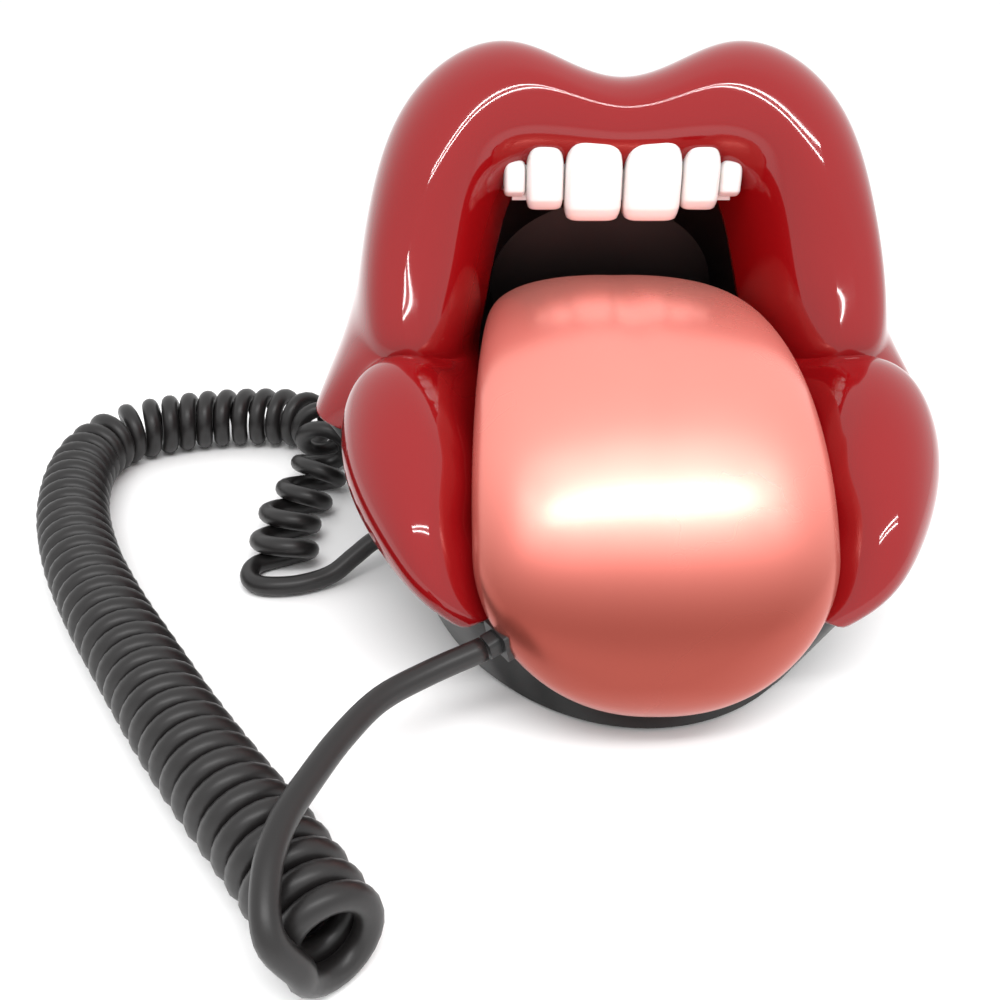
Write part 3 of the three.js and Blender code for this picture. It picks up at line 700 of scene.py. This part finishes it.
def make_plug(name, plug, body, material):
    """A modular plug with its clip, its contacts and the collar that grips the cord"""
    mouth, out = np.array(plug["mouth"], float), np.array(plug["out"], float)
    out /= np.linalg.norm(out)
    side = np.cross([0, 0, 1], out)
    up = np.cross(out, side)
    parts = [block_along(mouth, out, PLUG_SIZE, plug["set_back"], PLUG_DEPTH, 0.7)]
    parts.append(block_along(mouth, out, (4.4, 4.2), 0, 4, 1.2))
    parts.append(block_along(mouth - up * 3.9, out, (3, 0.9), plug["set_back"] + 1, PLUG_DEPTH - 1, 0.3))
    for x in CONTACT_SPOTS:
        contact = mouth + side * x + up * 3.0
        parts.append(block_along(contact, out, (0.5, 0.5), PLUG_DEPTH - 4.5, PLUG_DEPTH - 0.4, 0.2))
    piece = join(name + "_body", parts)
    finish_piece(piece, body, material, name)
    return piece


def catmull_rom(points, per_span):
    """A curve through the points"""
    points = np.asarray(points, float)
    padded = np.concatenate([[2 * points[0] - points[1]], points, [2 * points[-1] - points[-2]]])
    result = []
    for i in range(1, len(padded) - 2):
        a, b, c, d = padded[i - 1 : i + 3]
        for t in np.arange(per_span) / per_span:
            square, cube = 2 * a - 5 * b + 4 * c - d, 3 * b - a - 3 * c + d
            result.append(0.5 * (2 * b + (c - a) * t + square * t**2 + cube * t**3))
    result.append(points[-1])
    return np.array(result)


def smooth_step(share):
    """Eases from 0 to 1"""
    share = min(1.0, max(0.0, share))
    return share * share * (3 - 2 * share)


def coil_axis():
    """The coil's axis in even steps: places, ways ahead, distances and how tightly it bends"""
    x, y = COIL_ROUTE[0]
    start = (x + 0.618 * CORD_DIAMETER, y - 0.786 * CORD_DIAMETER)
    rough = catmull_rom([start, *COIL_ROUTE], 40)
    along = np.concatenate([[0], np.cumsum(np.linalg.norm(np.diff(rough, axis=0), axis=1))])
    distances = np.linspace(0, along[-1], int(along[-1] * 4))
    places = np.stack([np.interp(distances, along, rough[:, i]) for i in range(2)], 1)
    ahead = np.gradient(places, distances, axis=0)
    window = np.ones(41) / 41
    bend = np.linalg.norm(np.gradient(ahead, distances, axis=0), axis=1)
    return places, ahead, distances, np.convolve(bend, window, "same")


def coil_wire():
    """The turns of the coil. Close turns part in the bends; those near the base are drawn out and lean"""
    places, ahead, distances, bend = coil_axis()
    left = distances[-1] - distances
    lean = np.array([COIL_LEAN * smooth_step((76 - d) / 34) for d in left])
    close = 1.04 * CORD_DIAMETER / (1 - COIL_RADIUS * bend) / np.cos(lean)
    drawn_out = np.array([COIL_DRAWN * smooth_step((74 - d) / 18) for d in left])
    ripple = 1 + 0.07 * np.maximum(0, np.sin(distances * 0.083 + 0.5)) ** 6
    pitch = np.maximum(close * ripple, CORD_DIAMETER + drawn_out)
    turns = np.concatenate([[0], np.cumsum(np.diff(distances) * 2 / (pitch[1:] + pitch[:-1]))])
    whole = math.floor(turns[-1] - 0.25) + 0.25  # the last turn ends on the floor, under the coil
    turns *= whole / turns[-1]
    wire = []
    for turn in np.arange(0, whole + 1e-6, 1 / STEPS_PER_TURN):
        at = np.interp(turn, turns, distances)
        place = np.array([np.interp(at, distances, places[:, i]) for i in range(2)])
        way = np.array([np.interp(at, distances, ahead[:, i]) for i in range(2)])
        way /= np.linalg.norm(way)
        tilt = np.interp(at, distances, lean)
        side = np.array([way[1], -way[0], 0])
        up = np.array([way[0] * math.sin(tilt), way[1] * math.sin(tilt), math.cos(tilt)])
        middle = np.array([*place, COIL_RADIUS * math.cos(tilt) + CORD_DIAMETER / 2 + 0.1])
        angle = math.pi + 2 * math.pi * turn
        wire.append(middle + COIL_RADIUS * (math.cos(angle) * side + math.sin(angle) * up))
    return wire


def make_cord_path():
    """The whole wire from the handset to the base: lead, turns of the coil, lead"""
    wire = coil_wire()
    lead = HANDSET_LEAD[:-1]  # its last point lies in the coil's first turn
    first = catmull_rom([*lead, wire[0], wire[2]], 6)[: 6 * len(lead)]
    last = catmull_rom([wire[-5], wire[-1], *BASE_LEAD], 6)[7:]
    return np.concatenate([first, wire, last])


def tube(name, path, diameter, sides=14):
    """A round tube along a path, with no twist"""
    path = np.asarray(path, float)
    ahead = np.gradient(path, axis=0)
    ahead /= np.linalg.norm(ahead, axis=1, keepdims=True)
    normal = np.cross(ahead[0], [0, 0, 1.0])
    if np.linalg.norm(normal) < 1e-3:
        normal = np.array([1.0, 0, 0])
    rings = []
    for place, way in zip(path, ahead):
        normal = normal - way * (normal @ way)
        normal /= np.linalg.norm(normal)
        other = np.cross(way, normal)
        angles = 2 * math.pi * np.arange(sides) / sides
        around = np.cos(angles)[:, None] * normal + np.sin(angles)[:, None] * other
        rings.append(place + diameter / 2 * around)
    return ring_object(name, rings)


def make_cord():
    """The one wire from plug to plug"""
    path = make_cord_path()
    cord = tube("curly_cord", path, CORD_DIAMETER)
    cord.data.materials.append(MATERIALS["cord_black"])
    plugs = [
        make_plug("handset_plug", HANDSET_PLUG, "handset", "black_plastic"),
        make_plug("base_plug", BASE_PLUG, "base", "clear_plastic"),
    ]
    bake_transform(cord)
    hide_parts("cord_coil", "cord_lead_base", "cord_lead_handset")


def make_ringer_knob():
    """A sliding knob with three ribs"""
    x, y, z = RINGER_SWITCH
    knob = block_along((x - 1.5, y + 3.5, z), (0, 1, 0), (4, 3), 0, 11, 0.6)
    ribs = [block_along((x - 1.5 + d, y + 3.9, z), (0, 1, 0), (0.5, 2.6), 0, 1, 0.2) for d in (-1, 0, 1)]
    finish_piece(join("ringer_knob_cap", [knob, *ribs]), "ringer_knob", "key_white", "ringer_switch_knob")


# ---- materials ----

def surface(name, color, roughness, mottle=0.04, grain=0.0, grain_size=0.4, **inputs):
    """A principled surface whose colour and gloss vary a little, with an optional fine grain.
    grain is the height of the grain and grain_size its width, both in millimetres."""
    material = bpy.data.materials.new(name)
    material.use_nodes = True
    nodes, links = material.node_tree.nodes, material.node_tree.links
    shader = nodes["Principled BSDF"]
    for key, value in inputs.items():
        shader.inputs[key.replace("_", " ")].default_value = value
    place = nodes.new("ShaderNodeTexCoord")
    clouds = nodes.new("ShaderNodeTexNoise")
    clouds.inputs["Scale"].default_value = 35
    clouds.inputs["Detail"].default_value = 3
    links.new(place.outputs["Object"], clouds.inputs["Vector"])
    shade = nodes.new("ShaderNodeValToRGB")
    shade.color_ramp.elements[0].position = 0.3
    shade.color_ramp.elements[1].position = 0.7
    shade.color_ramp.elements[0].color = (*(c * (1 - mottle) for c in color), 1)
    shade.color_ramp.elements[1].color = (*(min(1, c * (1 + mottle)) for c in color), 1)
    links.new(clouds.outputs["Fac"], shade.inputs["Fac"])
    links.new(shade.outputs["Color"], shader.inputs["Base Color"])
    gloss = nodes.new("ShaderNodeMapRange")
    gloss.inputs["To Min"].default_value = roughness * 0.92
    gloss.inputs["To Max"].default_value = roughness * 1.08
    links.new(clouds.outputs["Fac"], gloss.inputs["Value"])
    links.new(gloss.outputs["Result"], shader.inputs["Roughness"])
    if grain:
        fine = nodes.new("ShaderNodeTexNoise")
        fine.inputs["Scale"].default_value = 1 / (grain_size * MM)
        links.new(place.outputs["Object"], fine.inputs["Vector"])
        bump = nodes.new("ShaderNodeBump")
        bump.inputs["Distance"].default_value = grain * MM
        links.new(fine.outputs["Fac"], bump.inputs["Height"])
        links.new(bump.outputs["Normal"], shader.inputs["Normal"])
    return material


def paint_shade_to_tip(material, low, high, depth):
    """Paints shade into a colour: darkens it below the height high, fully at low, as a painted dark
    reflection under the tip, but less where the surface turns away from the viewer, which leaves a painted
    lighter rim"""
    nodes, links = material.node_tree.nodes, material.node_tree.links
    shader = nodes["Principled BSDF"]
    color = shader.inputs["Base Color"].links[0].from_socket
    place = nodes.new("ShaderNodeTexCoord")
    parts = nodes.new("ShaderNodeSeparateXYZ")
    links.new(place.outputs["Object"], parts.inputs["Vector"])
    # mask of the painted shade by height: full at low, none above high
    height = nodes.new("ShaderNodeMapRange")
    height.interpolation_type = "SMOOTHSTEP"
    for key, value in {"From Min": low, "From Max": high, "To Min": depth, "To Max": 0.0}.items():
        height.inputs[key].default_value = value
    links.new(parts.outputs["Z"], height.inputs["Value"])
    # painted light: the facing weakens the painted shade where the surface turns away from the viewer, so the
    # rim stays lighter
    rim = nodes.new("ShaderNodeLayerWeight")
    rim.inputs["Blend"].default_value = 0.35
    middle = nodes.new("ShaderNodeMapRange")
    for key, value in {"From Min": 0.1, "From Max": 0.75, "To Min": 1.0, "To Max": 0.3}.items():
        middle.inputs[key].default_value = value
    links.new(rim.outputs["Facing"], middle.inputs["Value"])
    share = nodes.new("ShaderNodeMath")
    share.operation = "MULTIPLY"
    links.new(height.outputs["Result"], share.inputs[0])
    links.new(middle.outputs["Result"], share.inputs[1])
    # painted shade: multiplies the pearl colour by a dark tint towards the tip
    painted_shade = nodes.new("ShaderNodeMixRGB")
    painted_shade.blend_type = "MULTIPLY"
    painted_shade.inputs["Color2"].default_value = (0.36, 0.22, 0.19, 1)
    links.new(share.outputs["Value"], painted_shade.inputs["Fac"])
    links.new(color, painted_shade.inputs["Color1"])
    links.new(painted_shade.outputs["Color"], shader.inputs["Base Color"])
    return material


def make_materials():
    """All the surfaces by name"""
    return {
        "red_gloss": surface("red_gloss", (0.22, 0.0035, 0.005), 0.06, mottle=0.02),
        # the pearl colour with painted shade towards the tongue's tip
        "pearl_pink": paint_shade_to_tip(
            surface("pearl_pink", (0.64, 0.2, 0.165), 0.27, mottle=0.015, Metallic=0.75), 0.030, 0.056, 1.0
        ),
        "black_plastic": surface("black_plastic", (0.010, 0.010, 0.010), 0.42, grain=0.03),
        "cavity_black": surface("cavity_black", (0.008, 0.006, 0.006), 0.5, grain=0.02),
        "tooth_white": surface("tooth_white", (0.82, 0.79, 0.77), 0.12, mottle=0.01, Subsurface_Weight=0.1),
        "key_white": surface("key_white", (0.7, 0.69, 0.66), 0.3, mottle=0.02),
        "key_ink": surface("key_ink", (0.03, 0.03, 0.035), 0.5),
        "bright_steel": surface("bright_steel", (0.55, 0.55, 0.56), 0.3, grain=0.01, Metallic=1.0),
        "gold": surface("gold", (0.8, 0.55, 0.2), 0.25, Metallic=1.0),
        "soft_rubber": surface("soft_rubber", (0.02, 0.02, 0.02), 0.75, grain=0.04),
        "circuit_board": surface("circuit_board", (0.02, 0.16, 0.07), 0.4, mottle=0.1),
        "clear_plastic": surface(
            "clear_plastic", (0.8, 0.83, 0.85), 0.1, mottle=0.01, Transmission_Weight=0.7
        ),
        "cord_black": surface("cord_black", (0.010, 0.009, 0.009), 0.4, grain=0.008, grain_size=0.5),
    }


def dress_cad_nodes():
    """Gives the CAD nodes that stay in view their slots' materials"""
    for name, node in frame["nodes"].items():
        node.data.materials.clear()
        node.data.materials.append(MATERIALS[NODE_SLOTS[name]])


# ---- light and floor ----

def soft_light(name, place, aim, size, brightness):
    """A rectangular light; brightness is its radiance, and 1 shows as plain white"""
    data = bpy.data.lights.new(name, "AREA")
    data.shape = "RECTANGLE"
    data.size, data.size_y = size
    data.energy = brightness * math.pi * size[0] * size[1]
    light = bpy.data.objects.new(name, data)
    bpy.context.scene.collection.objects.link(light)
    light.location = place
    light.rotation_euler = (Vector(aim) - Vector(place)).to_track_quat("-Z", "Y").to_euler()
    return light


def make_light():
    """A white room, a soft window and two thin tubes, and a sheen that only the handset takes"""
    world = bpy.data.worlds.new("studio")
    bpy.context.scene.world = world
    world.use_nodes = True
    background = world.node_tree.nodes["Background"]
    background.inputs["Color"].default_value = (1, 1, 1, 1)
    background.inputs["Strength"].default_value = 1.1
    tongue = (0, -0.065, 0.05)
    window = soft_light("window", (0.05, -0.35, 0.60), tongue, (0.74, 0.40), 2.4)
    window.visible_glossy = False
    sheen = soft_light("sheen", (0.05, -0.35, 0.60), tongue, (0.76, 0.34), 15)
    lacquered = bpy.data.collections.new("lacquered")
    for piece in SATIN_PIECES:
        lacquered.objects.link(piece)
    sheen.light_linking.receiver_collection = lacquered
    for lift in (0.0, 0.035):
        soft_light("tube", (0.05, -0.33 - lift, 0.58 - lift * 0.55), tongue, (0.55, 0.008), 60)
    bpy.context.scene.view_settings.view_transform = "Standard"


def make_floor():
    """A wide pale floor"""
    corners = [(-8000, -8000, 0), (8000, -8000, 0), (8000, 8000, 0), (-8000, 8000, 0)]
    floor = new_object("floor", corners, [(0, 1, 2, 3)])
    floor.data.materials.append(surface("floor", (0.95, 0.95, 0.95), 0.9, mottle=0.0))


NODE_SLOTS = {part["node"]: part["material_slot"] for part in frame["record"]["subparts"]}
MATERIALS = make_materials()

make_camera()
make_cord()
dress_cad_nodes()
make_lips()
make_mouth()
make_teeth()
SATIN_PIECES = [make_top_shell(), make_bottom_shell()]
make_keys()
make_base()
make_jack("handset_jack", HANDSET_JACK)
make_jack("line_jack", LINE_JACK)
make_ringer_knob()
make_light()
make_floor()
